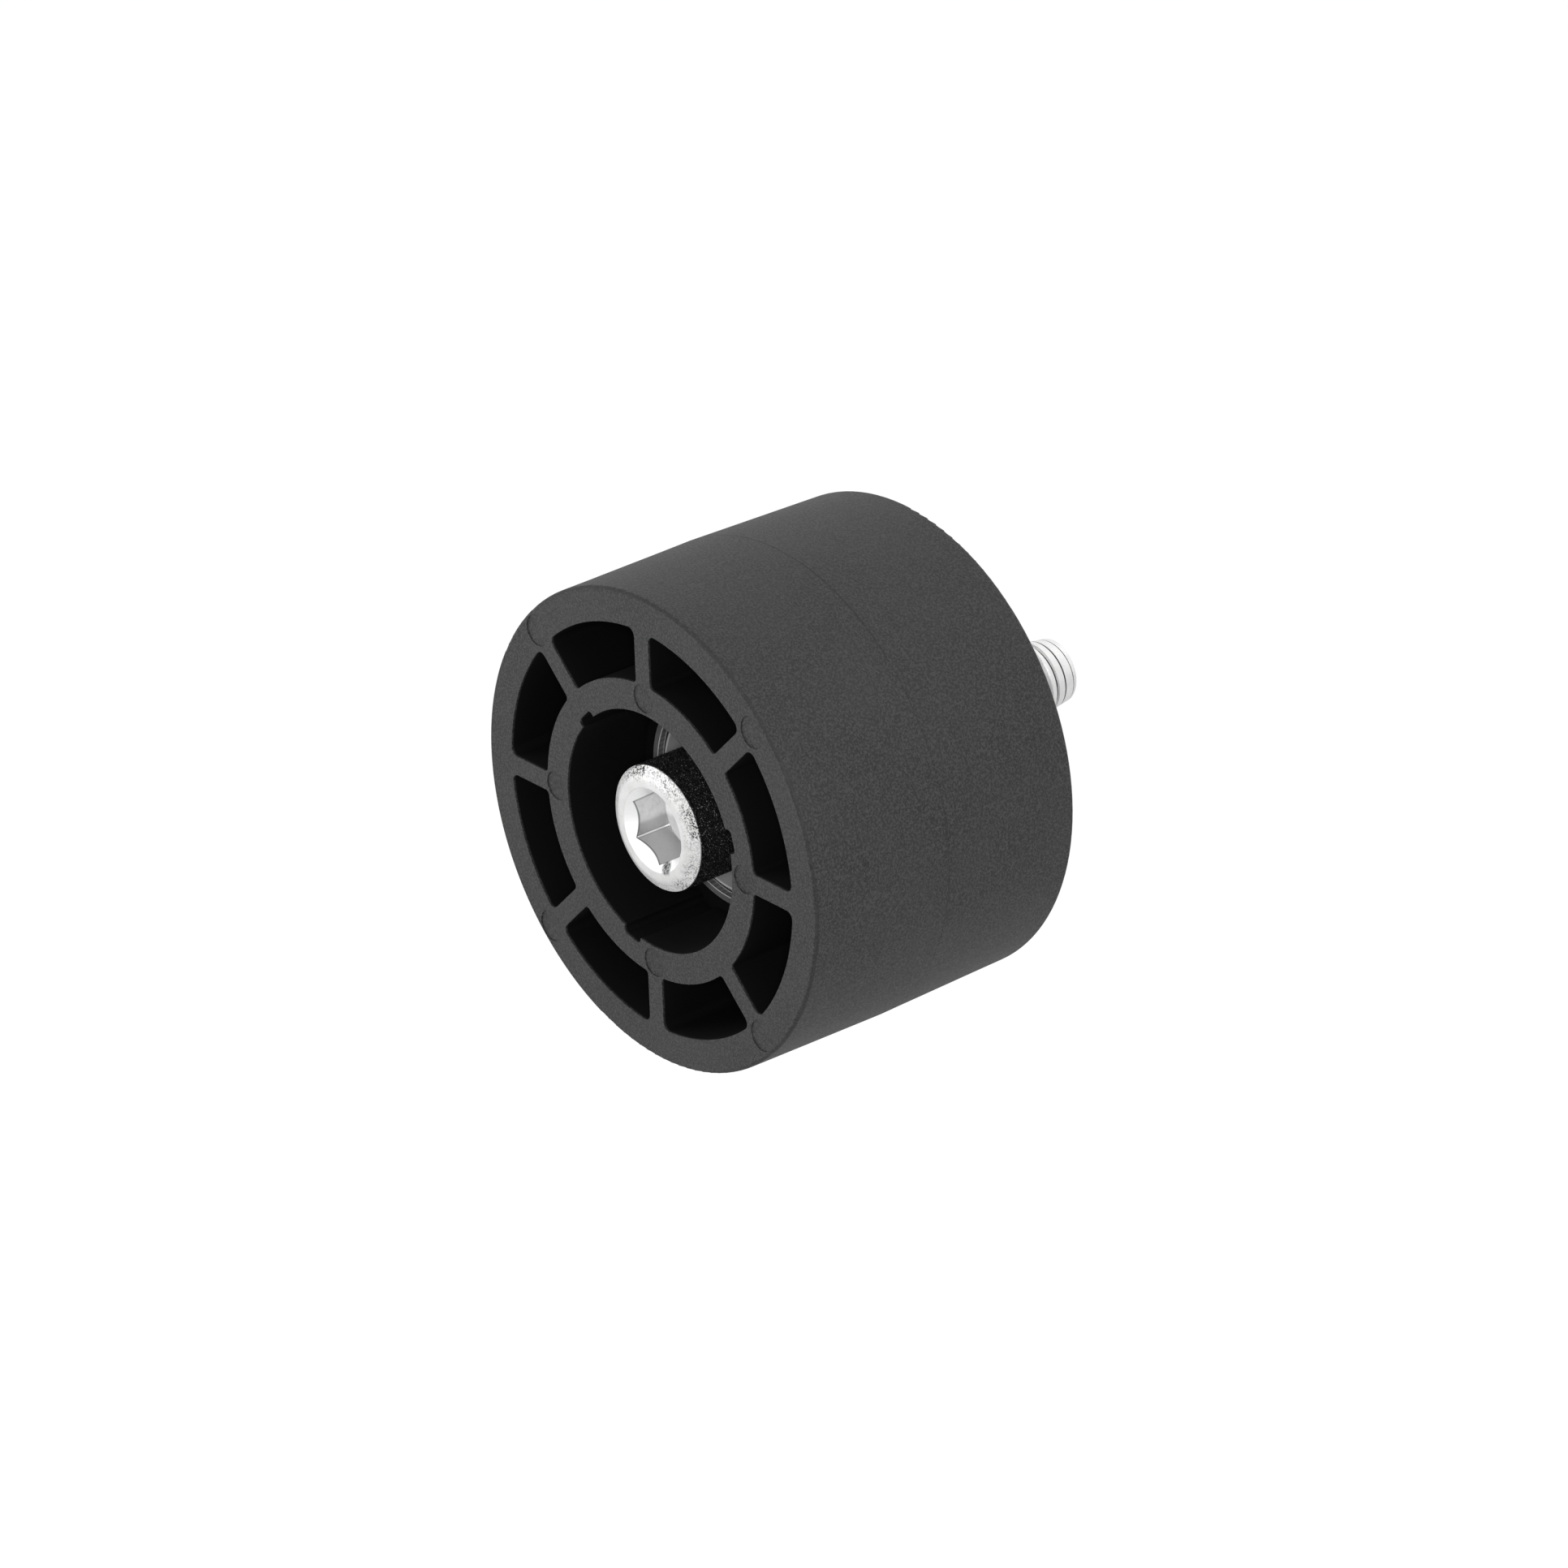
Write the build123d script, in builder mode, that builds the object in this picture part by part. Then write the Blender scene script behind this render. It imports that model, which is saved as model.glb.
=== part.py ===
from build123d import *
from math import radians, tan
import os

# Roller on two ball bearings with a socket screw through it, made to be screwed to a machine.
# Millimetres, +Z up. The axis of the roller is Y: its front, with the screw's head, faces -Y.
# The origin is on the axis, in the face of the rear bush that is clamped against the machine.

os.makedirs("parts", exist_ok=True)

# Moulded roller
tread_diameter = 60.0
tread_length = 40.0
tread_rise = 0.3  # the tread is this much higher at the parting line, half way along
edge_radius = 0.5
back_gap = 1.0  # the roller's back runs this far clear of the machine
rim_inner_radius = 25.75
hub_radius = 18.85
spoke_count = 8
spoke_width = 2.5
spoke_turn = 3.3  # degrees from +X
web_thickness = 3.0
pocket_corner = 1.0
pocket_root_corner = 0.6
well_diameter = 30.2
groove_count = 3
groove_width = 3.0
groove_depth = 0.85
groove_corner = 0.6
groove_turn = 18.4  # degrees from +X

# Marks that the ejector pins leave in the front face
ejector_count = 4
ejector_depth = 0.15
rim_ejector_diameter = 4.0
rim_ejector_radius = 27.6
hub_ejector_diameter = 3.6
hub_ejector_radius = 17.2

# Ball bearings, two alike
bearing_bore = 12.0
bearing_diameter = 28.0
bearing_width = 8.0
ring_chamfer = 0.3
ball_diameter = 4.762
ball_count = 8
ball_gap = 0.045  # between a ball and either race
race_conformity = 0.53  # radius of the race's groove, as a share of the ball's diameter
inner_shoulder_diameter = 17.0
outer_land_diameter = 23.0
shield_seat_diameter = 25.6
shield_seat_depth = 1.1
shield_mouth_chamfer = 0.2

# Shields, pressed from sheet
shield_sheet = 0.3
shield_sink = 0.2  # the raised middle lies this far inside the bearing's face
shield_rim = 0.5  # flat part of the sunk rim
shield_flank = 0.3
shield_bend = 0.5  # radius over the edge of the raised middle
shield_gap = 0.12  # between the shield and the inner ring's shoulder

# Cages, moulded, half way between the rings' shoulders
cage_width = 1.3
cage_gap = 0.1  # between a ball and its pocket
cage_base = 0.5  # behind the balls
claw_height = 1.2  # beyond the middle of the balls

# Socket head screw with an M10 end
thread_diameter = 10.0
thread_point_diameter = 8.1  # at the end, where the last turns aren't filled
thread_point_length = 5.0
screw_length = 54.0
head_diameter = 15.8
head_height = 10.0
head_chamfer_depth = 0.95
head_chamfer_width = 1.5
socket_flats = 8.0
socket_depth = 5.4
socket_mouth_diameter = 10.6
socket_point_angle = 120.0
socket_turn = 36.5  # degrees from +X to the first corner
relief_diameter = 7.7
relief_length = 3.0

# Bushes that carry the bearings on the screw
screw_gap = 0.1  # between the screw's shank and the bushes
bush_wall = 0.95
bush_flange_diameter = 16.0
front_flange = 1.5  # length of the front bush's flange, from the bearing to the screw's head
bush_chamfer = 0.3

# Places along the axis
back_face = -back_gap
middle = back_face - tread_length / 2
front_face = back_face - tread_length
seat_front = middle - bearing_width
seat_back = middle + bearing_width
head_seat = seat_front - front_flange
head_face = head_seat - head_height
thread_end = head_seat + screw_length
bearings = (("front", middle - bearing_width / 2), ("rear", middle + bearing_width / 2))

# Sizes that follow
tread_radius = tread_diameter / 2
bearing_radius = bearing_diameter / 2
half_width = bearing_width / 2
well_radius = well_diameter / 2
well_depth = tread_length / 2 - bearing_width
pocket_depth = (tread_length - web_thickness) / 2
pocket_middle = (rim_inner_radius + hub_radius) / 2
spoke_pitch = 360 / spoke_count
ball_radius = ball_diameter / 2
pitch_radius = (bearing_bore + bearing_diameter) / 4
race_radius = race_conformity * ball_diameter
inner_race_middle = pitch_radius - ball_radius - ball_gap + race_radius
outer_race_middle = pitch_radius + ball_radius + ball_gap - race_radius
inner_shoulder_radius = inner_shoulder_diameter / 2
outer_land_radius = outer_land_diameter / 2
shield_seat_radius = shield_seat_diameter / 2
shield_seat_width = shield_seat_radius - outer_land_radius
shield_crown_radius = shield_seat_radius - shield_rim - shield_flank
shield_inner_radius = inner_shoulder_radius + shield_gap
cage_pocket_radius = ball_radius + cage_gap
cage_middle = (outer_land_radius + inner_shoulder_radius) / 2
cage_back = cage_pocket_radius + cage_base
bush_radius = bearing_bore / 2
bush_bore_radius = bush_radius - bush_wall
bush_flange_radius = bush_flange_diameter / 2
shank_radius = bush_bore_radius - screw_gap
thread_radius = thread_diameter / 2
head_radius = head_diameter / 2
socket_radius = socket_flats / 2
socket_mouth_radius = socket_mouth_diameter / 2
socket_point_depth = socket_depth + socket_radius / tan(radians(socket_point_angle / 2))


def save(piece, name):
    piece.part.label = name
    export_step(piece.part, "parts/" + name + ".step")


def section(place):
    # half section through the axis: x runs outward and y along the axis, from zero at place
    return Plane(origin=(0, place, 0), x_dir=(1, 0, 0), z_dir=(0, 0, 1))


def across(place):
    # square to the axis, seen from the front, with its normal towards the front
    return Plane.XZ.offset(-place)


# Roller: one moulding round the outer rings, cored from both ends to a web at its middle
with BuildPart() as roller_body:
    with BuildSketch(section(0)):
        with BuildLine():
            Polyline(
                (bearing_radius, seat_front),
                (well_radius, seat_front),
                (well_radius, front_face),
                (tread_radius, front_face),
                (tread_radius + tread_rise, middle),
                (tread_radius, back_face),
                (well_radius, back_face),
                (well_radius, seat_back),
                (bearing_radius, seat_back),
                close=True,
            )
        make_face()
    revolve(axis=Axis.Y)
    ends = roller_body.edges().filter_by(
        lambda e: e.geom_type == GeomType.CIRCLE and abs(e.radius - tread_radius) < 0.01
    )
    fillet(ends, radius=edge_radius)

    for end, inward in ((front_face, -1), (back_face, 1)):
        # Pockets between the spokes
        with BuildSketch(across(end)) as pockets:
            Circle(rim_inner_radius)
            Circle(hub_radius, mode=Mode.SUBTRACT)
            with PolarLocations(pocket_middle, spoke_count, start_angle=spoke_turn):
                Rectangle(rim_inner_radius, spoke_width, mode=Mode.SUBTRACT)
            fillet(
                pockets.vertices().filter_by(lambda v: Vector(v).length > pocket_middle),
                pocket_corner,
            )
            fillet(
                pockets.vertices().filter_by(lambda v: Vector(v).length < pocket_middle),
                pocket_root_corner,
            )
        extrude(amount=inward * pocket_depth, mode=Mode.SUBTRACT)

        # Grooves along the wall of the well, down to the bearing
        with BuildSketch(across(end)):
            with PolarLocations(well_radius, groove_count, start_angle=groove_turn):
                RectangleRounded(2 * groove_depth, groove_width, groove_corner)
        extrude(amount=inward * well_depth, mode=Mode.SUBTRACT)

    # Marks of the ejector pins, on every other spoke
    with BuildSketch(across(front_face)):
        with PolarLocations(
            rim_ejector_radius, ejector_count, start_angle=spoke_turn + spoke_pitch
        ):
            Circle(rim_ejector_diameter / 2)
        with PolarLocations(hub_ejector_radius, ejector_count, start_angle=spoke_turn):
            Circle(hub_ejector_diameter / 2)
    extrude(amount=-ejector_depth, mode=Mode.SUBTRACT)
save(roller_body, "roller_body")

# Screw: head with a hexagon socket, plain shank in the bushes, relief and threaded end
with BuildPart() as screw:
    with BuildSketch(section(0)):
        with BuildLine():
            Polyline(
                (0, head_face),
                (head_radius - head_chamfer_width, head_face),
                (head_radius, head_face + head_chamfer_depth),
                (head_radius, head_seat),
                (shank_radius, head_seat),
                (shank_radius, -relief_length),
                (relief_diameter / 2, -relief_length),
                (relief_diameter / 2, 0),
                (thread_radius, 0),
                (thread_radius, thread_end - thread_point_length),
                (thread_point_diameter / 2, thread_end),
                (0, thread_end),
                close=True,
            )
        make_face()
    revolve(axis=Axis.Y)
    with BuildSketch(across(head_face)):
        RegularPolygon(socket_flats / 2, 6, major_radius=False, rotation=socket_turn)
    extrude(amount=-socket_depth, mode=Mode.SUBTRACT)
    # the drilled point below the socket and the countersink at its mouth
    with BuildSketch(section(head_face)):
        with BuildLine():
            Polyline(
                (0, 0),
                (socket_mouth_radius, 0),
                (socket_radius, socket_mouth_radius - socket_radius),
                (socket_radius, socket_depth),
                (0, socket_point_depth),
                close=True,
            )
        make_face()
    revolve(axis=Axis.Y, mode=Mode.SUBTRACT)
save(screw, "screw")

# Bushes: a spigot in each bearing's bore, meeting half way, and a flange on its outer side
for name, outer_end, flange_end in (
    ("front_bush", head_seat, seat_front),
    ("rear_bush", 0, seat_back),
):
    with BuildPart() as bush:
        with BuildSketch(section(0)) as profile:
            with BuildLine():
                Polyline(
                    (bush_bore_radius, middle),
                    (bush_radius, middle),
                    (bush_radius, flange_end),
                    (bush_flange_radius, flange_end),
                    (bush_flange_radius, outer_end),
                    (bush_bore_radius, outer_end),
                    close=True,
                )
            make_face()
            rim = profile.vertices().filter_by(
                lambda v: v.X > bush_radius + 0.01 and abs(v.Y - outer_end) < 0.01
            )
            chamfer(rim, bush_chamfer)
        revolve(axis=Axis.Y)
    save(bush, name)

for side, place in bearings:
    # Outer ring, with a seat for a shield at each end
    with BuildPart() as outer_ring:
        with BuildSketch(section(place)) as profile:
            with Locations(((bearing_radius + outer_land_radius) / 2, 0)):
                Rectangle(bearing_radius - outer_land_radius, bearing_width)
            with Locations((outer_race_middle, 0)):
                Circle(race_radius, mode=Mode.SUBTRACT)
            with Locations(
                (outer_land_radius, half_width - shield_seat_depth / 2),
                (outer_land_radius, shield_seat_depth / 2 - half_width),
            ):
                Rectangle(2 * shield_seat_width, shield_seat_depth, mode=Mode.SUBTRACT)
            corners = profile.vertices().group_by(Axis.X)
            chamfer(corners[-1], ring_chamfer)
            mouths = profile.vertices().filter_by(
                lambda v: abs(abs(v.Y - place) - half_width) < 0.01
                and abs(v.X - shield_seat_radius) < 0.01
            )
            chamfer(mouths, shield_mouth_chamfer)
        revolve(axis=Axis.Y)
    save(outer_ring, side + "_outer_ring")

    # Inner ring
    with BuildPart() as inner_ring:
        with BuildSketch(section(place)) as profile:
            with Locations(((bush_radius + inner_shoulder_radius) / 2, 0)):
                Rectangle(inner_shoulder_radius - bush_radius, bearing_width)
            with Locations((inner_race_middle, 0)):
                Circle(race_radius, mode=Mode.SUBTRACT)
            chamfer(profile.vertices().group_by(Axis.X)[0], ring_chamfer)
        revolve(axis=Axis.Y)
    save(inner_ring, side + "_inner_ring")

    # Balls
    for number in range(ball_count):
        with BuildPart(across(place)) as ball:
            with PolarLocations(pitch_radius, 1, start_angle=number * 360 / ball_count):
                Sphere(ball_radius)
        save(ball, side + "_ball_" + str(number + 1))

    # Cage: a moulded band with a pocket snapped over every ball from the front
    with BuildPart() as cage:
        with BuildSketch(section(place)):
            with Locations((cage_middle, (cage_back - claw_height) / 2)):
                Rectangle(cage_width, cage_back + claw_height)
        revolve(axis=Axis.Y)
        with Locations(across(place)):
            with PolarLocations(cage_middle, ball_count):
                Cylinder(
                    cage_pocket_radius, 2 * cage_width, rotation=(0, 90, 0), mode=Mode.SUBTRACT
                )
    save(cage, side + "_cage")

    # Shields: a sunk rim on the outer ring's shoulder and a raised middle
    for end, outward in (("front", -1), ("rear", 1)):
        with BuildPart() as shield:
            crown_face = outward * (half_width - shield_sink)
            rim_seat = outward * (half_width - shield_seat_depth)
            sheet = outward * shield_sheet
            with BuildSketch(section(place)) as profile:
                with BuildLine():
                    Polyline(
                        (shield_inner_radius, crown_face),
                        (shield_crown_radius, crown_face),
                        (shield_crown_radius + shield_flank, rim_seat + sheet),
                        (shield_seat_radius, rim_seat + sheet),
                        (shield_seat_radius, rim_seat),
                        (shield_crown_radius + shield_flank - shield_sheet / 2, rim_seat),
                        (shield_crown_radius - shield_sheet / 2, crown_face - sheet),
                        (shield_inner_radius, crown_face - sheet),
                        close=True,
                    )
                make_face()
                edge = profile.vertices().filter_by(
                    lambda v: abs(v.X - shield_crown_radius) < 0.01
                )
                fillet(edge, shield_bend)
            revolve(axis=Axis.Y)
        save(shield, side + "_bearing_" + end + "_shield")
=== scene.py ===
import math

import bmesh
import bpy
from mathutils import Matrix, Vector


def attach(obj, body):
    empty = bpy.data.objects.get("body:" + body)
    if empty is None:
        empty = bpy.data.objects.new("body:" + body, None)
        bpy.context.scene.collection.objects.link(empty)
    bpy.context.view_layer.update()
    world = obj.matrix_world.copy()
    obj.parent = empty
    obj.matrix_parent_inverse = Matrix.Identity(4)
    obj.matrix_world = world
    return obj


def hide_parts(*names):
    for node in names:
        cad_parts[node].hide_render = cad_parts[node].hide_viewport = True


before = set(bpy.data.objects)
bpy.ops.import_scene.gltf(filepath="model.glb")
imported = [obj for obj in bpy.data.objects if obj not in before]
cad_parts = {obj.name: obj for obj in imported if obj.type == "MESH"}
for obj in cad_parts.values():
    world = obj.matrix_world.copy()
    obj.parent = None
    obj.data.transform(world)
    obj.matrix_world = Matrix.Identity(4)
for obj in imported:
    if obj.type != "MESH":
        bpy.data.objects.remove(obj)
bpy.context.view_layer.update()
mm = 0.001
origin = (0, 0, 0)
rollerAxis = (0, 1, 0)

# Camera, where the photograph was taken from; places in mm, angles in degrees
view = {
    "aim": (0, -41.0, 0),  # middle of the front face
    "azimuth": 49.087,
    "elevation": 28.349,
    "roll": 0.580,
    "distance": 774.4,
    "across": 15.80,  # the aim lies this far left of the picture's middle
    "above": 5.60,
    "lens": 152.0,
    "filmWidth": 36,
    "nearest": 50,
}


def placeCamera():
    turn, lift, roll = (math.radians(view[k]) for k in ("azimuth", "elevation", "roll"))
    level = math.cos(lift)
    back = Vector((math.sin(turn) * level, -math.cos(turn) * level, math.sin(lift)))
    right = Vector((math.cos(turn), math.sin(turn), 0))
    up = back.cross(right)
    right, up = (
        right * math.cos(roll) + up * math.sin(roll),
        up * math.cos(roll) - right * math.sin(roll),
    )
    place = Vector(view["aim"]) + back * view["distance"]
    place = place + right * view["across"] + up * view["above"]
    facing = Matrix((right, up, back)).transposed().to_4x4()
    bpy.ops.object.camera_add()
    camera = bpy.context.object
    camera.matrix_world = Matrix.Translation(place * mm) @ facing
    camera.data.sensor_width = view["filmWidth"]
    camera.data.lens = view["lens"]
    camera.data.clip_start = view["nearest"] * mm
    bpy.context.scene.camera = camera


placeCamera()
print("camera placed")


# Shader maths in plain expressions
class Wire:
    def __init__(self, network, socket):
        self.network = network
        self.socket = socket

    def maths(self, operation, first, second=0.0):
        return self.network.add("Math", {"operation": operation}, {0: first, 1: second})

    def output(self, name):
        # another output of the node that this wire leaves
        return Wire(self.network, self.socket.node.outputs[name])

    def __add__(self, other):
        return self.maths("ADD", self, other)

    def __radd__(self, other):
        return self.maths("ADD", other, self)

    def __sub__(self, other):
        return self.maths("SUBTRACT", self, other)

    def __rsub__(self, other):
        return self.maths("SUBTRACT", other, self)

    def __mul__(self, other):
        return self.maths("MULTIPLY", self, other)

    def __rmul__(self, other):
        return self.maths("MULTIPLY", other, self)

    def __pow__(self, other):
        return self.maths("POWER", self, other)

    def __abs__(self):
        return self.maths("ABSOLUTE", self)


class Network:
    def __init__(self, owner, shader):
        owner.use_nodes = True
        self.tree = owner.node_tree
        self.shader = self.tree.nodes[shader]

    def add(self, kind, settings=None, inputs=None, out=0):
        node = self.tree.nodes.new("ShaderNode" + kind)
        for name, value in (settings or {}).items():
            setattr(node, name, value)
        self.feed(node, inputs or {})
        return Wire(self, node.outputs[out])

    def feed(self, node, inputs):
        for name, value in inputs.items():
            if isinstance(value, Wire):
                self.tree.links.new(value.socket, node.inputs[name])
            else:
                node.inputs[name].default_value = value

    def cover(self, share, over):
        # lays another shader over the main one
        main = Wire(self, self.shader.outputs[0])
        both = self.add("MixShader", {}, {0: share, 1: main, 2: over})
        self.feed(self.tree.nodes["Material Output"], {"Surface": both})

    def backdrop(self, gloss):
        # 1 for what the camera sees, and this much of it for reflections
        rays = self.add("LightPath", out="Is Glossy Ray")
        seen = rays * gloss
        for name in ("Is Camera Ray", "Is Transmission Ray"):
            seen = seen.maths("MAXIMUM", seen, rays.output(name))
        return seen


class Finish(Network):
    def __init__(self, name):
        self.material = bpy.data.materials.new(name)
        super().__init__(self.material, "Principled BSDF")
        self.place = self.add("TexCoord", out="Object")
        split = self.add("SeparateXYZ", {}, {0: self.place})
        self.x, self.y, self.z = (split.output(name) for name in ("X", "Y", "Z"))
        self.radius = self.distance(self.x, self.z)

    def distance(self, across, up):
        return (across * across + up * up) ** 0.5

    def noise(self, size, detail=2.0, roughness=0.5, place=None):
        # values round 0.5, in lumps of about this size in mm
        inputs = {
            "Vector": place or self.place,
            "Scale": 1 / (size * mm),
            "Detail": detail,
            "Roughness": roughness,
        }
        return self.add("TexNoise", {}, inputs)

    def ramp(self, value, low, high, start=0.0, end=1.0):
        # start below low, end above high, a smooth step between
        inputs = {
            "Value": value,
            "From Min": low,
            "From Max": high,
            "To Min": start,
            "To Max": end,
        }
        return self.add("MapRange", {"interpolation_type": "SMOOTHSTEP"}, inputs)

    def past(self, place, low, high):
        # 1 where a place is past these, in mm
        return self.ramp(place, low * mm, high * mm)

    def before(self, place, low, high, strength=1.0):
        return self.ramp(place, low * mm, high * mm, strength, 0.0)

    def band(self, place, middle, width, edge):
        # 1 inside a band of this width, with soft edges, in mm
        return self.before(abs(place - middle * mm), (width - edge) / 2, (width + edge) / 2)

    def mix(self, share, first, second):
        # 6 and 7 are the Mix node's two colours, and 2 is the mixed one
        return self.add("Mix", {"data_type": "RGBA"}, {0: share, 6: first, 7: second}, 2)

    def bump(self, height, depth):
        # height 0 to 1 stands this deep, in mm
        return self.add("Bump", {}, {"Height": height, "Distance": depth * mm, "Strength": 1.0})


def grey(value, warm=0.0):
    return (value * (1 + warm), value, value * (1 - warm), 1)


# Black moulded nylon; sizes and places in mm
nylon = {
    "darkGrain": 0.006,
    "lightGrain": 0.086,
    "grainSize": 0.27,
    "grainDepth": 0.1,
    "grainRange": (0.38, 0.66),
    "grainMiddle": 0.4,
    "fineSize": 0.14,
    "fineColour": 0.9,
    "fineHeight": 0.3,
    "faceContrast": 0.85,  # of the grain on the end faces, against the tread's
    "faceHeight": 0.12,
    "cloudSize": 9.0,
    "cloudRange": (0.35, 0.7),
    "cloudStrength": 0.15,
    "roughness": 0.58,
    "treadRoughness": 0.06,  # added on the tread
    "grainRoughness": 0.08,
    "treadStart": (29.2, 29.8),  # radius
    "partingPlace": -21.0,
    "partingWidth": 0.16,
    "partingEdge": 0.08,
    "partingDepth": 1.2,
    "partingShade": 0.12,
    "partingTopPaintedShade": 0.8,  # painted shade added towards the top, where raking light shows the line
    "partingTop": (23, 29),
    "witnessRadius": 28.2,
    "witnessWidth": 0.12,
    "witnessEdge": 0.06,
    "witnessDepth": 0.3,
    "witnessShade": 0.12,
    "edgeRadius": (29.62, 29.7),
    "edgeAway": (19.62, 19.7),  # from the parting line, along the axis
    # painted shade on the rounded edge
    "edgePaintedShade": 0.6,
    # the pockets and wells, painted near black as painted shade
    "hollowRadius": (26.4, 26.8),
    "hollowFront": (-40.9, -40.6),
    "hollowBack": (-1.4, -1.1),
    "hollowShadeColour": 0.001,
    "hollowShine": 0.14,
    "hollowRoughness": 0.8,
}


def makeNylon():
    paint = Finish("blackNylon")
    y, z, r = paint.y, paint.z, paint.radius
    dark, light = nylon["darkGrain"], nylon["lightGrain"]
    tread = paint.past(r, *nylon["treadStart"])

    # grain
    grain = paint.noise(nylon["grainSize"], 3.0, 0.6)
    fine = paint.noise(nylon["fineSize"])
    clouds = paint.ramp(paint.noise(nylon["cloudSize"]), *nylon["cloudRange"])
    contrast = tread * (1 - nylon["faceContrast"]) + nylon["faceContrast"]
    speckle = (paint.ramp(grain, *nylon["grainRange"]) - nylon["grainMiddle"]) * contrast
    speckle = speckle + nylon["grainMiddle"] + (fine - 0.5) * nylon["fineColour"]
    surface = paint.mix(speckle, grey(dark), grey(light))
    surface = paint.mix(clouds * nylon["cloudStrength"], surface, grey(light, 0.02))

    # lines that the mould leaves, and painted shade along the rounded edge
    parting = paint.band(y, nylon["partingPlace"], nylon["partingWidth"], nylon["partingEdge"])
    parting = parting * tread
    witness = paint.band(r, nylon["witnessRadius"], nylon["witnessWidth"], nylon["witnessEdge"])
    witness = witness * (1 - tread)
    fromParting = abs(y - nylon["partingPlace"] * mm)
    edge = paint.past(r, *nylon["edgeRadius"]) * paint.past(fromParting, *nylon["edgeAway"])
    # painted shade: the parting line darker towards the top
    top = nylon["partingTopPaintedShade"] * paint.past(z, *nylon["partingTop"])
    line = parting * (nylon["partingShade"] + top) + witness * nylon["witnessShade"]
    # painted shade along the rounded edge between end face and tread
    line = line + edge * nylon["edgePaintedShade"]

    roughness = nylon["roughness"] + tread * nylon["treadRoughness"]
    height = grain * (nylon["faceHeight"] + tread * (1 - nylon["faceHeight"]))
    height = height + fine * nylon["fineHeight"]
    height = height - parting * nylon["partingDepth"] - witness * nylon["witnessDepth"]
    paint.feed(
        paint.shader,
        {
            "Base Color": paint.mix(line, surface, grey(dark / 3)),
            "Roughness": roughness + nylon["grainRoughness"] * (grain - 0.5),
            "Normal": paint.bump(height, nylon["grainDepth"]),
        },
    )

    # the pockets and wells are painted near black, as painted shade for the light that is lost
    # there
    deep = paint.past(y, *nylon["hollowFront"]) * paint.before(y, *nylon["hollowBack"])
    deep = deep * paint.before(r, *nylon["hollowRadius"])
    hollowShade = {
        "Base Color": grey(nylon["hollowShadeColour"]),
        "Roughness": nylon["hollowRoughness"],
        "Specular IOR Level": nylon["hollowShine"],
    }
    paint.cover(deep, paint.add("BsdfPrincipled", {}, hollowShade))
    return paint.material


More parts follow.
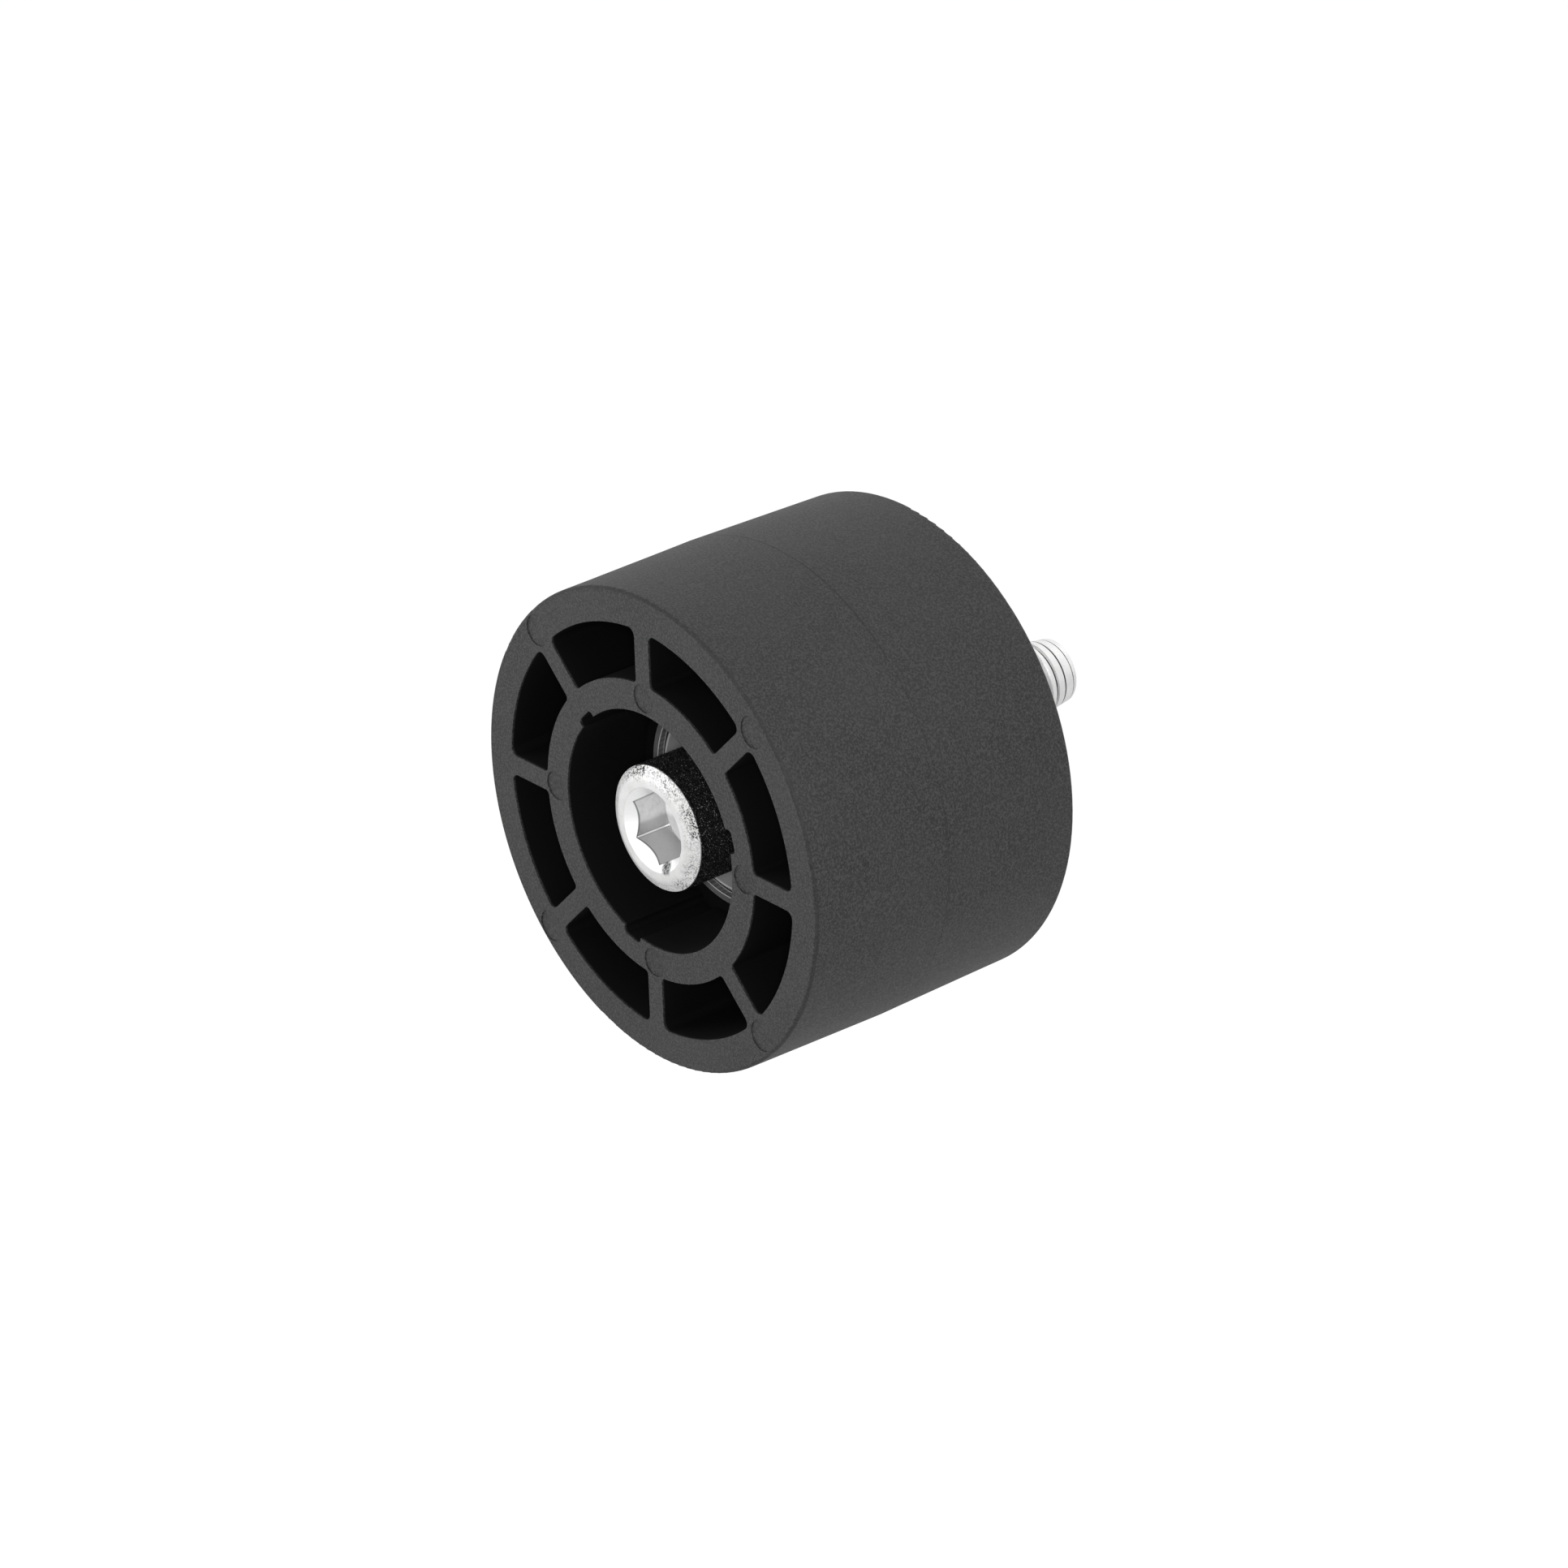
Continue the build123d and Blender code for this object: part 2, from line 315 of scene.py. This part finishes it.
# Zinc plate on the screw; sizes and places in mm, angles in degrees from +X
zinc = {
    "colour": 0.84,
    "cloudColour": 0.77,
    "cloudSize": 2.2,
    "cloudRange": (0.3, 0.75),
    "roughness": 0.46,
    "cloudRoughness": 0.15,  # what these places add to it
    "dirtRoughness": 0.2,
    "coneRoughness": -0.1,
    "socketRoughness": -0.12,
    "bumpSize": 0.4,
    "bumpDepth": 0.008,
    "dirtHeight": 0.8,
    "smallSize": 0.2,
    "coarseSize": 0.6,
    "smallShare": 0.7,
    "pitRange": (0.46, 0.57),
    "pitShade": 0.04,
    # dirt on the head's face, and painted shade in the dent
    "headFace": -40.5,
    "faceEnd": (-39.58, -39.5),
    "faceStart": (5.6, 6.2),  # radius
    "chamferMiddle": 7.3,
    "chamferWidth": 1.3,
    "chamferEdge": 0.5,
    "chamferDirt": 0.3,
    # x, z, size and strength of each stain
    "stains": (
        (7.4, 2.5, 1.1, 1.6),
        (7.0, 3.6, 1.5, 1.0),
        (6.0, 4.7, 1.9, 0.6),
        (-3.2, 6.9, 2.0, 0.9),
        (-5.3, 5.6, 1.5, 0.6),
        (4.9, -5.8, 1.8, 0.5),
        (6.6, -2.6, 2.2, 0.35),
        (3.0, 6.6, 2.2, 0.4),
        (0.3, 7.2, 2.4, 0.25),
        (5.2, 1.2, 2.4, 0.3),
    ),
    "stainCore": 0.3,  # share of a stain that is dirty all over
    "stainColour": 0.08,
    "stainPits": 0.85,
    "stainPlain": 0.1,
    "dent": (2.05, -4.3, 0.85),  # x, z and size
    "dentStretch": 0.65,
    "dentCore": 0.5,
    "dentEnd": (-39.1, -38.9),
    # painted shade in the dent
    "dentShadeColour": 0.06,
    # hexagon socket
    "flats": 8.0,
    "flatTurn": 6.5,  # to the middle of a flat
    "flatEdge": (4.03, 4.06),
    "socketStart": (-40.2, -40.0),
    "socketEnd": (-34, -33),
    # painted light on the upper flats, painted shade on the low ones
    "litWallColour": 0.95,
    "shadedWallColour": 0.63,
    "shadedWall": (-2.6, -1.9),
    "lowWallSlope": 0.3,
    "wallStainColour": 0.6,
    "wallStain": 0.3,
    "wallStainRange": (0.4, 0.75),
    # the cone is painted lighter, as painted light
    "coneLitColour": 0.95,
    "coneRadius": 5.3,
    "coneWidth": 0.2,
    "coneEdge": 0.1,
    "coneStart": (-40.48, -40.4),
    # painted shade along the mouth's edge
    "mouthShadeColour": 0.12,
    "mouthStrength": 0.8,
    "mouthWidth": 0.16,
    "mouthEdge": 0.08,
    # painted highlight along this corner
    "cornerTurn": 216.5,  # the corner between the two flats that show
    "cornerStart": (4.2, 4.3),
    "cornerRadius": (4.55, 4.58),
    # a painted shade line beside the corner
    "besideShadeColour": 0.3,
    "besideStrength": 0.5,
    "besideRadius": 4.53,
    "besideWidth": 0.05,
    "besideEdge": 0.03,
    # knurled side: painted near black as a painted reflection of the dark well, with painted
    # glints
    "sideRadius": (7.45, 7.55),
    "sideStart": (-39.62, -39.52),
    "sideShadeColour": 0.007,
    "sideRoughness": 0.5,
    "sideShine": 0.15,
    "glintColour": 0.4,
    "glintSize": 0.15,
    "glintRange": (0.6, 0.72),
    # painted shade in the thread's roots
    "rootShadeColour": 0.06,
    "rootRadius": 4.4,
    "rootUnder": 0.06,  # under the worn point's surface
    "pointSurface": (4.3, 21.7, 0.14),  # radius of the worn point, where, and its slope
    "rootEdge": 0.04,
    "rootStart": (0, 0.5),
    "rootEnd": (23.3, 23.45),
    "rootPlain": 0.5,
    "rootClouds": 0.7,
}


def findDirt(paint, pits):
    # how dirty the head's face is, and where the dent in the socket's mouth is painted shade
    x, y, z, r = paint.x, paint.y, paint.z, paint.radius
    stain = paint.band(r, zinc["chamferMiddle"], zinc["chamferWidth"], zinc["chamferEdge"])
    stain = stain * zinc["chamferDirt"]
    for stainX, stainZ, size, strength in zinc["stains"]:
        away = paint.distance(x - stainX * mm, z - stainZ * mm)
        stain = stain + paint.before(away, size * zinc["stainCore"], size, strength)
    onFace = paint.before(y, *zinc["faceEnd"]) * paint.past(r, *zinc["faceStart"])
    dirt = stain * onFace * (pits * zinc["stainPits"] + zinc["stainPlain"])

    dentX, dentZ, size = zinc["dent"]
    away = paint.distance((x - dentX * mm) * zinc["dentStretch"], z - dentZ * mm)
    dent = paint.before(away, size * zinc["dentCore"], size)
    dent = dent * paint.before(y, *zinc["dentEnd"])
    return dirt + pits * zinc["pitShade"], dent


def findSocket(paint):
    # inside the hexagon, on the countersunk mouth, and where the two meet
    x, y, z, r = paint.x, paint.y, paint.z, paint.radius
    flat = None  # how far out the nearest flat's plane lies
    for step in range(3):
        turn = math.radians(zinc["flatTurn"] + 60 * step)
        out = abs(x * math.cos(turn) + z * math.sin(turn))
        flat = out if flat is None else out.maths("MAXIMUM", flat, out)
    within = paint.before(y, *zinc["socketEnd"])
    inSocket = paint.before(flat, *zinc["flatEdge"]) * paint.past(y, *zinc["socketStart"])
    coneRadius = r + y - zinc["headFace"] * mm
    cone = paint.band(coneRadius, zinc["coneRadius"], zinc["coneWidth"], zinc["coneEdge"])
    cone = cone * within * paint.past(y, *zinc["coneStart"])
    mouth = paint.band(flat, zinc["flats"] / 2, zinc["mouthWidth"], zinc["mouthEdge"])
    return inSocket * within, cone, cone * mouth


def paintWall(paint, inSocket, coarse):
    # the socket's flats: painted light on the upper ones and painted shade on the low ones, with
    # a painted highlight in the corner that shows and a painted shade line beside it
    x, z, r = paint.x, paint.z, paint.radius
    turn = math.radians(zinc["cornerTurn"])
    toCorner = x * math.cos(turn) + z * math.sin(turn)
    toCorner = paint.past(toCorner, *zinc["cornerStart"]) * inSocket
    corner = paint.past(r, *zinc["cornerRadius"]) * toCorner
    besideShade = paint.band(r, zinc["besideRadius"], zinc["besideWidth"], zinc["besideEdge"])
    shadedWall = paint.before(z + x * zinc["lowWallSlope"], *zinc["shadedWall"])
    stain = paint.ramp(coarse, *zinc["wallStainRange"]) * zinc["wallStain"]
    wall = paint.mix(shadedWall, grey(zinc["litWallColour"]), grey(zinc["shadedWallColour"]))
    wall = paint.mix(stain, wall, grey(zinc["wallStainColour"]))
    # painted highlight along the corner
    wall = paint.mix(corner, wall, grey(1.0))
    # a painted shade line beside the corner's highlight
    besideShade = besideShade * toCorner * zinc["besideStrength"]
    return paint.mix(besideShade, wall, grey(zinc["besideShadeColour"]))


def findRoots(paint, coarse):
    # the thread's roots, which follow the worn point inwards near the end
    y, r = paint.y, paint.radius
    radius, place, slope = zinc["pointSurface"]
    under = radius * mm - (y - place * mm) * slope - zinc["rootUnder"] * mm
    limit = under.maths("MINIMUM", under, zinc["rootRadius"] * mm)
    root = paint.before(r - limit, -zinc["rootEdge"], zinc["rootEdge"])
    root = root * paint.past(y, *zinc["rootStart"]) * paint.before(y, *zinc["rootEnd"])
    return root * (zinc["rootPlain"] + coarse * zinc["rootClouds"])


def makeZinc():
    paint = Finish("zincPlate")
    clouds = paint.noise(zinc["cloudSize"], 3.0, 0.6)
    small = paint.noise(zinc["smallSize"], 3.0, 0.65)
    coarse = paint.noise(zinc["coarseSize"], 3.0, 0.6)
    pits = small * zinc["smallShare"] + coarse * (1 - zinc["smallShare"])
    pits = paint.ramp(pits, *zinc["pitRange"])
    dirt, dent = findDirt(paint, pits)
    inSocket, cone, mouth = findSocket(paint)

    colour = paint.mix(
        paint.ramp(clouds, *zinc["cloudRange"]),
        grey(zinc["cloudColour"], 0.004),
        grey(zinc["colour"], 0.002),
    )
    # the countersunk cone is painted lighter, as painted light
    colour = paint.mix(cone, colour, grey(zinc["coneLitColour"]))
    colour = paint.mix(inSocket, colour, paintWall(paint, inSocket, coarse))
    # painted shade along the edge where the mouth's cone meets the flats
    colour = paint.mix(mouth * zinc["mouthStrength"], colour, grey(zinc["mouthShadeColour"]))
    # painted shade in the dent
    colour = paint.mix(dent * (pits * 0.4 + 0.6), colour, grey(zinc["dentShadeColour"]))
    colour = paint.mix(dirt, colour, grey(zinc["stainColour"], 0.01))
    # painted shade in the thread's roots, stronger in places
    colour = paint.mix(findRoots(paint, coarse), colour, grey(zinc["rootShadeColour"]))
    roughness = zinc["roughness"] + clouds * zinc["cloudRoughness"]
    roughness = roughness + dirt * zinc["dirtRoughness"]
    roughness = roughness + cone * zinc["coneRoughness"] + inSocket * zinc["socketRoughness"]
    height = paint.noise(zinc["bumpSize"]) + dirt * zinc["dirtHeight"]
    paint.feed(
        paint.shader,
        {
            "Base Color": colour,
            "Roughness": roughness,
            "Metallic": 1.0,
            "Normal": paint.bump(height, zinc["bumpDepth"]),
        },
    )

    # the knurled side is painted near black, as a painted reflection of the dark well, with
    # painted glints
    glint = paint.ramp(paint.noise(zinc["glintSize"]), *zinc["glintRange"])
    shadedSide = {
        "Base Color": paint.mix(glint, grey(zinc["sideShadeColour"]), grey(zinc["glintColour"])),
        "Roughness": zinc["sideRoughness"],
        "Specular IOR Level": zinc["sideShine"],
    }
    side = paint.past(paint.radius, *zinc["sideRadius"]) * paint.past(paint.y, *zinc["sideStart"])
    paint.cover(side, paint.add("BsdfPrincipled", {}, shadedSide))
    return paint.material


# Ground and pressed steel in the bearings, and the turned bushes; sizes in mm
steels = {
    "turnedSteel": {"colour": 0.7, "roughness": 0.3, "markSize": 0.12, "markDepth": 0.004},
    "pressedSteel": {
        "colour": 0.7,
        "roughness": 0.24,
        "markSize": 0.2,
        "markDepth": 0.002,
        "highlightBand": (11.82, 0.46),  # radius and width of a band painted pale and matt, as a painted highlight
        # a dark band of painted shade, in the seat's gap
        "shadeBand": (12.42, 0.6),
        "film": 0.6,  # the share that looks matt, as under grease
    },
    "groundSteel": {
        "colour": 0.62,
        "roughness": 0.16,
        "markSize": 0.1,
        "markDepth": 0.0015,
        # a painted highlight on the mouth's chamfer, and painted shade on the seat's wall
        "highlightBand": (12.88, 0.15),
        "shadeBand": (12.8, 0.04),
        "film": 0.34,
    },
    "polishedSteel": {"colour": 0.75, "roughness": 0.08},
}
# tone clouds, with the painted highlight and painted shade bands
steelCloudsAndPaintedLight = {
    "cloudSize": 3.0,
    "cloudShade": 0.88,
    "cloudRoughness": 0.08,
    "highlightColour": 0.95,
    "highlightEdge": 0.06,
    "shadeBandColour": 0.03,
    "shadeBandEdge": 0.02,
}


def makeSteel(name):
    paint = Finish(name)
    steel = steels[name]
    colour = steel["colour"]
    clouds = paint.noise(steelCloudsAndPaintedLight["cloudSize"])
    shade = paint.mix(clouds, grey(colour * steelCloudsAndPaintedLight["cloudShade"]), grey(colour))
    metallic = 1.0
    if "film" in steel:
        # a dark band painted as shade
        shadeBand = paint.band(paint.radius, *steel["shadeBand"], steelCloudsAndPaintedLight["shadeBandEdge"])
        # a pale band painted as a highlight
        highlightBand = paint.band(paint.radius, *steel["highlightBand"], steelCloudsAndPaintedLight["highlightEdge"])
        shade = paint.mix(shadeBand, shade, grey(steelCloudsAndPaintedLight["shadeBandColour"]))
        shade = paint.mix(highlightBand, shade, grey(steelCloudsAndPaintedLight["highlightColour"]))
        metallic = 1 - steel["film"] - highlightBand * (1 - steel["film"])
    roughness = steel["roughness"] + steelCloudsAndPaintedLight["cloudRoughness"] * (clouds - 0.5)
    inputs = {"Base Color": shade, "Roughness": roughness, "Metallic": metallic}
    if "markSize" in steel:
        # turning marks: fine rings round the axis
        rings = paint.add("CombineXYZ", {}, {0: paint.radius, 1: paint.y})
        marks = paint.noise(steel["markSize"], 2.0, 0.6, rings)
        inputs["Normal"] = paint.bump(marks, steel["markDepth"])
    paint.feed(paint.shader, inputs)
    return paint.material


# Natural nylon of the cages
cage = {
    "darkColour": (0.6, 0.53, 0.4, 1),
    "lightColour": (0.72, 0.66, 0.52, 1),
    "cloudSize": 1.5,
    "roughness": 0.4,
    "cloudRoughness": 0.15,
}


def makeCagePlastic():
    paint = Finish("naturalNylon")
    clouds = paint.noise(cage["cloudSize"])
    inputs = {
        "Base Color": paint.mix(clouds, cage["darkColour"], cage["lightColour"]),
        "Roughness": cage["roughness"] + clouds * cage["cloudRoughness"],
    }
    paint.feed(paint.shader, inputs)
    return paint.material


# shield stands before ring, which is also the end of the word bearing
finishes = {
    "roller_body": makeNylon(),
    "screw": makeZinc(),
    "bush": makeSteel("turnedSteel"),
    "shield": makeSteel("pressedSteel"),
    "ring": makeSteel("groundSteel"),
    "ball": makeSteel("polishedSteel"),
    "cage": makeCagePlastic(),
}
for name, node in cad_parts.items():
    kind = next(k for k in finishes if k in name)
    node.data.materials.clear()
    node.data.materials.append(finishes[kind])
print("finishes made")


# Modelling
def deselect():
    bpy.ops.object.select_all(action="DESELECT")


def pick(kind, test):
    # in edit mode, selects the parts whose middle passes the test
    bpy.ops.mesh.select_mode(type=kind)
    bpy.ops.mesh.select_all(action="DESELECT")
    mesh = bmesh.from_edit_mesh(bpy.context.object.data)
    parts = {"VERT": mesh.verts, "EDGE": mesh.edges, "FACE": mesh.faces}[kind]
    for part in parts:
        points = [part.co] if kind == "VERT" else [v.co for v in part.verts]
        if test(sum(points, Vector()) / len(points)):
            part.select_set(True)
    mesh.select_flush_mode()
    bmesh.update_edit_mesh(bpy.context.object.data)


def drawn(name, outline, start=0.0):
    # draws (radius, place along the axis) points in mm, from start, and stays in edit mode
    deselect()
    radius, along = outline[0]
    place = (radius * mm, (start + along) * mm, 0)
    bpy.ops.mesh.primitive_plane_add(size=mm, location=place)
    piece = bpy.context.object
    piece.name = name
    bpy.ops.object.transform_apply(location=True, rotation=True, scale=True)
    bpy.ops.object.mode_set(mode="EDIT")
    bpy.ops.mesh.select_mode(type="VERT")
    bpy.ops.mesh.select_all(action="SELECT")
    bpy.ops.mesh.merge(type="CENTER")
    for nextRadius, nextAlong in outline[1:]:
        step = ((nextRadius - radius) * mm, (nextAlong - along) * mm, 0)
        bpy.ops.mesh.extrude_region_move(TRANSFORM_OT_translate={"value": step})
        radius, along = nextRadius, nextAlong
    return piece


def mergeDoubles():
    bpy.ops.mesh.select_all(action="SELECT")
    bpy.ops.mesh.remove_doubles(threshold=0.002 * mm)


def turned(name, outline, steps):
    # spins an outline round the axis
    piece = drawn(name, outline)
    bpy.ops.mesh.select_all(action="SELECT")
    bpy.ops.mesh.spin(steps=steps, angle=2 * math.pi, center=origin, axis=rollerAxis)
    mergeDoubles()
    bpy.ops.mesh.normals_make_consistent(inside=False)
    bpy.ops.object.mode_set(mode="OBJECT")
    return piece


def combine(piece, other, operation):
    cut = piece.modifiers.new("cut", "BOOLEAN")
    cut.operation = operation
    cut.object = other
    cut.solver = "EXACT"
    bpy.context.view_layer.objects.active = piece
    bpy.ops.object.modifier_apply(modifier=cut.name)
    bpy.data.objects.remove(other)


def soften(piece, degrees):
    deselect()
    piece.select_set(True)
    bpy.context.view_layer.objects.active = piece
    bpy.ops.object.shade_smooth_by_angle(angle=math.radians(degrees))


# Socket head screw; sizes and places in mm
screw = {
    "headFace": -40.5,
    "headSeat": -30.5,
    "headRadius": 7.9,
    "headEdge": ((6.15, 0), (6.45, 0.09), (7.8, 0.85), (7.9, 1.1)),  # radius and depth
    "seatEdge": ((7.9, 0.4), (7.55, 0)),
    "shankRadius": 4.95,
    "reliefRadius": 3.85,
    "reliefStart": -3.0,
    "reliefEnd": 1.0,  # inside the thread
    "knurlStart": -39.1,
    "knurlEnd": -31.1,
    "knurlInside": 7.0,  # no knurl inside this radius
    "knurlRows": 27,
    "knurlTeeth": 164,  # points round the head; even, so that high and low ones alternate
    "knurlDepth": 0.1,
    "knurlWear": 0.05,
    "acrossFlats": 8.0,
    "socketDepth": 5.4,
    "socketTurn": 36.5,  # degrees from +X to a corner
    "keySpare": 2.0,  # the cutter stands this far out of the face
    "mouthRadius": 5.3,
    "cornerRound": 0.12,
    "cornerSteps": 4,
    "drillAngle": 120,
    "drillSteps": 96,
    "dent": (1.84, -40.02, -4.1),  # middle of the ball that leaves it
    "dentRadius": 0.36,
    "threadEnd": 23.5,
    "tipRadius": 4.05,
    "pointLength": 5.0,  # the last turns aren't filled
    "pointWaist": (4.3, 21.7),
    "pitch": 1.5,
    "rootRadius": 4.02,
    "crestRadius": 5.0,
    "threadTurn": 0.28,  # place of the root at +X, in pitches
    "threadTrim": (0.353, 24.112),  # cuts that miss the helix's points
    "threadSteps": 64,
    "blankSteps": 128,
    "smoothBelow": 32,  # degrees between faces
}


def makeHead():
    face, seat, radius = (screw[key] for key in ("headFace", "headSeat", "headRadius"))
    start, end, rows = (screw[key] for key in ("knurlStart", "knurlEnd", "knurlRows"))
    rise = (end - start) / rows
    outline = [(0, face)]
    outline += [(edge, face + depth) for edge, depth in screw["headEdge"]]
    outline += [(radius, start + rise * row) for row in range(rows + 1)]
    outline += [(edge, seat - height) for edge, height in screw["seatEdge"]]
    outline += [(screw["shankRadius"], seat), (screw["shankRadius"], screw["reliefStart"])]
    outline += [(screw["reliefRadius"], screw["reliefStart"])]
    outline += [(screw["reliefRadius"], screw["reliefEnd"]), (0, screw["reliefEnd"])]
    piece = turned("screwHead", outline, screw["knurlTeeth"])

    def knurled(place, spare=0.0):
        inRows = (start - spare) * mm < place.y < (end + spare) * mm
        return inRows and place.xz.length > screw["knurlInside"] * mm

    # every other point goes in, so that each cell is a small pyramid
    def low(place):
        row = round((place.y / mm - start) / rise)
        tooth = round(math.atan2(place.z, place.x) / (2 * math.pi / screw["knurlTeeth"]))
        return knurled(place, rise / 3) and (row + tooth) % 2 == 1

    bpy.ops.object.mode_set(mode="EDIT")
    pick("VERT", low)
    inward = 1 - screw["knurlDepth"] / radius
    bpy.ops.transform.resize(value=(inward, 1, inward), center_override=origin)
    pick("FACE", knurled)
    bpy.ops.mesh.quads_convert_to_tris(quad_method="SHORTEST_DIAGONAL")
    pick("VERT", low)
    wear = screw["knurlWear"] * mm
    bpy.ops.transform.vertex_random(offset=wear, uniform=0.0, normal=0.0, seed=5)
    bpy.ops.object.mode_set(mode="OBJECT")
    return piece


def cutSocket(piece):
    face, depth, mouth = (screw[key] for key in ("headFace", "socketDepth", "mouthRadius"))
    flat = screw["acrossFlats"] / 2
    corner = flat / math.cos(math.radians(30))
    middle = face + (depth - screw["keySpare"]) / 2
    deselect()
    bpy.ops.mesh.primitive_cylinder_add(
        vertices=6,
        radius=corner * mm,
        depth=(depth + screw["keySpare"]) * mm,
        location=(0, middle * mm, 0),
        rotation=(math.radians(90), 0, 0),
    )
    key = bpy.context.object
    bpy.ops.object.transform_apply(location=True, rotation=True, scale=True)
    first = key.data.vertices[0].co
    turn = math.radians(screw["socketTurn"]) - math.atan2(first.z, first.x)
    key.data.transform(Matrix.Rotation(-turn, 4, "Y"))

    def onCorner(place):
        near = 0.01 * mm
        return abs(place.xz.length - corner * mm) < near and abs(place.y - middle * mm) < near

    bpy.ops.object.mode_set(mode="EDIT")
    pick("EDGE", onCorner)
    bpy.ops.mesh.bevel(
        offset=screw["cornerRound"] * mm,
        segments=screw["cornerSteps"],
        profile=0.5,
        affect="EDGES",
    )
    bpy.ops.object.mode_set(mode="OBJECT")
    combine(piece, key, "DIFFERENCE")

    # countersunk mouth and drilled point, cut as one
    point = depth + flat / math.tan(math.radians(screw["drillAngle"] / 2))
    outline = [(0, face - 1), (mouth + 1, face - 1), (flat, face + mouth - flat)]
    outline += [(flat, face + depth), (0, face + point)]
    combine(piece, turned("drill", outline, screw["drillSteps"]), "DIFFERENCE")

    deselect()
    bpy.ops.mesh.primitive_uv_sphere_add(
        segments=24,
        ring_count=12,
        radius=screw["dentRadius"] * mm,
        location=[part * mm for part in screw["dent"]],
    )
    ball = bpy.context.object
    bpy.ops.object.transform_apply(location=True, rotation=True, scale=True)
    combine(piece, ball, "DIFFERENCE")


def makeThread():
    root, crest, pitch = (screw[key] for key in ("rootRadius", "crestRadius", "pitch"))
    # one turn's outline, from root to root
    tooth = [(root, 0), (root, 0.03), (4.6, 0.2), (4.9, 0.46), (crest, 0.64)]
    tooth += [(crest, 0.86), (4.9, 1.04), (4.6, 1.3), (root, 1.47), (root, pitch)]
    piece = drawn("screwThread", tooth, -2 * pitch + screw["threadTurn"] * pitch)
    bpy.ops.object.mode_set(mode="OBJECT")
    helix = piece.modifiers.new("helix", "SCREW")
    helix.axis = "Y"
    helix.angle = 2 * math.pi
    helix.screw_offset = pitch * mm
    helix.iterations = round(screw["threadEnd"] / pitch) + 5
    helix.steps = helix.render_steps = screw["threadSteps"]
    helix.use_merge_vertices = False
    bpy.ops.object.modifier_apply(modifier=helix.name)
    bpy.ops.object.mode_set(mode="EDIT")
    mergeDoubles()
    for place, pastIt in zip(screw["threadTrim"], (False, True)):
        bpy.ops.mesh.select_all(action="SELECT")
        bpy.ops.mesh.bisect(
            plane_co=(0, place * mm, 0),
            plane_no=rollerAxis,
            use_fill=True,
            clear_outer=pastIt,
            clear_inner=not pastIt,
        )
    bpy.ops.mesh.select_all(action="SELECT")
    bpy.ops.mesh.normals_make_consistent(inside=False)
    bpy.ops.object.mode_set(mode="OBJECT")

    # the blank that the thread is rolled on limits it, mostly at its worn point
    end, tip = screw["threadEnd"], screw["tipRadius"]
    blank = [(0, 0.3), (root, 0.3), (crest, 1.1), (crest, end - screw["pointLength"])]
    blank += [screw["pointWaist"], (tip + 0.01, end - 0.08), (tip - 0.1, end), (0, end)]
    combine(piece, turned("blank", blank, screw["blankSteps"]), "INTERSECT")
    return piece


head = makeHead()
cutSocket(head)
combine(head, makeThread(), "UNION")
head.name = "socketScrew"
soften(head, screw["smoothBelow"])
head.data.materials.clear()
head.data.materials.append(finishes["screw"])
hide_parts("screw")
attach(head, "mounting")
print("screw made", len(head.data.polygons))


# Floor and backdrop
stage = {
    "floor": -30.3,  # mm
    "floorSize": 3000,
    "floorColour": 0.8,
    "floorRoughness": 0.8,
    "floorShow": 0.92,  # how far the camera sees plain white instead of the lit floor
    "floorGloss": 0.75,  # the same in reflections
    "glow": 1.08,
    "sky": 0.02,  # light from all round
}


def makeFloor():
    deselect()
    place = (0, 0, stage["floor"] * mm)
    bpy.ops.mesh.primitive_plane_add(size=stage["floorSize"] * mm, location=place)
    floor = bpy.context.object
    floor.name = "floor"
    material = bpy.data.materials.new("paper")
    paper = Network(material, "Principled BSDF")
    matt = {"Base Color": grey(stage["floorColour"]), "Roughness": stage["floorRoughness"]}
    paper.feed(paper.shader, matt)
    glow = paper.add("Emission", {}, {"Color": grey(1.0), "Strength": stage["glow"]})
    paper.cover(paper.backdrop(stage["floorGloss"]) * stage["floorShow"], glow)
    floor.data.materials.append(material)


def makeSky():
    world = bpy.data.worlds.new("studio")
    bpy.context.scene.world = world
    sky = Network(world, "Background")
    seen = {"Value": sky.backdrop(1.0), "To Min": stage["sky"], "To Max": 1.0}
    sky.feed(sky.shader, {"Color": grey(1.0), "Strength": sky.add("MapRange", {}, seen)})


# Lamps: place and size in mm, power in W
lamps = {
    "left": {"place": (-170, -210, 70), "size": 140, "power": 0.13},
    "behind": {"place": (40, 190, 260), "size": 140, "power": 0.084},
    "behindLeft": {"place": (-200, 150, 200), "size": 140, "power": 0.038},
    "topRight": {"place": (230, 0, 230), "size": 140, "power": 0.045},
    "front": {"place": (600, -560, 427), "size": 160, "power": 3.5},  # behind the camera
}


def makeLamps():
    for name, lamp in lamps.items():
        place = Vector(lamp["place"]) * mm
        bpy.ops.object.light_add(type="AREA", location=place)
        light = bpy.context.object
        light.name = name
        light.data.shape = "DISK"
        light.data.size = lamp["size"] * mm
        light.data.energy = lamp["power"]
        light.rotation_mode = "QUATERNION"
        light.rotation_quaternion = place.to_track_quat("Z", "Y")


makeFloor()
makeSky()
makeLamps()
bpy.context.scene.view_settings.view_transform = "Standard"
print("stage made")
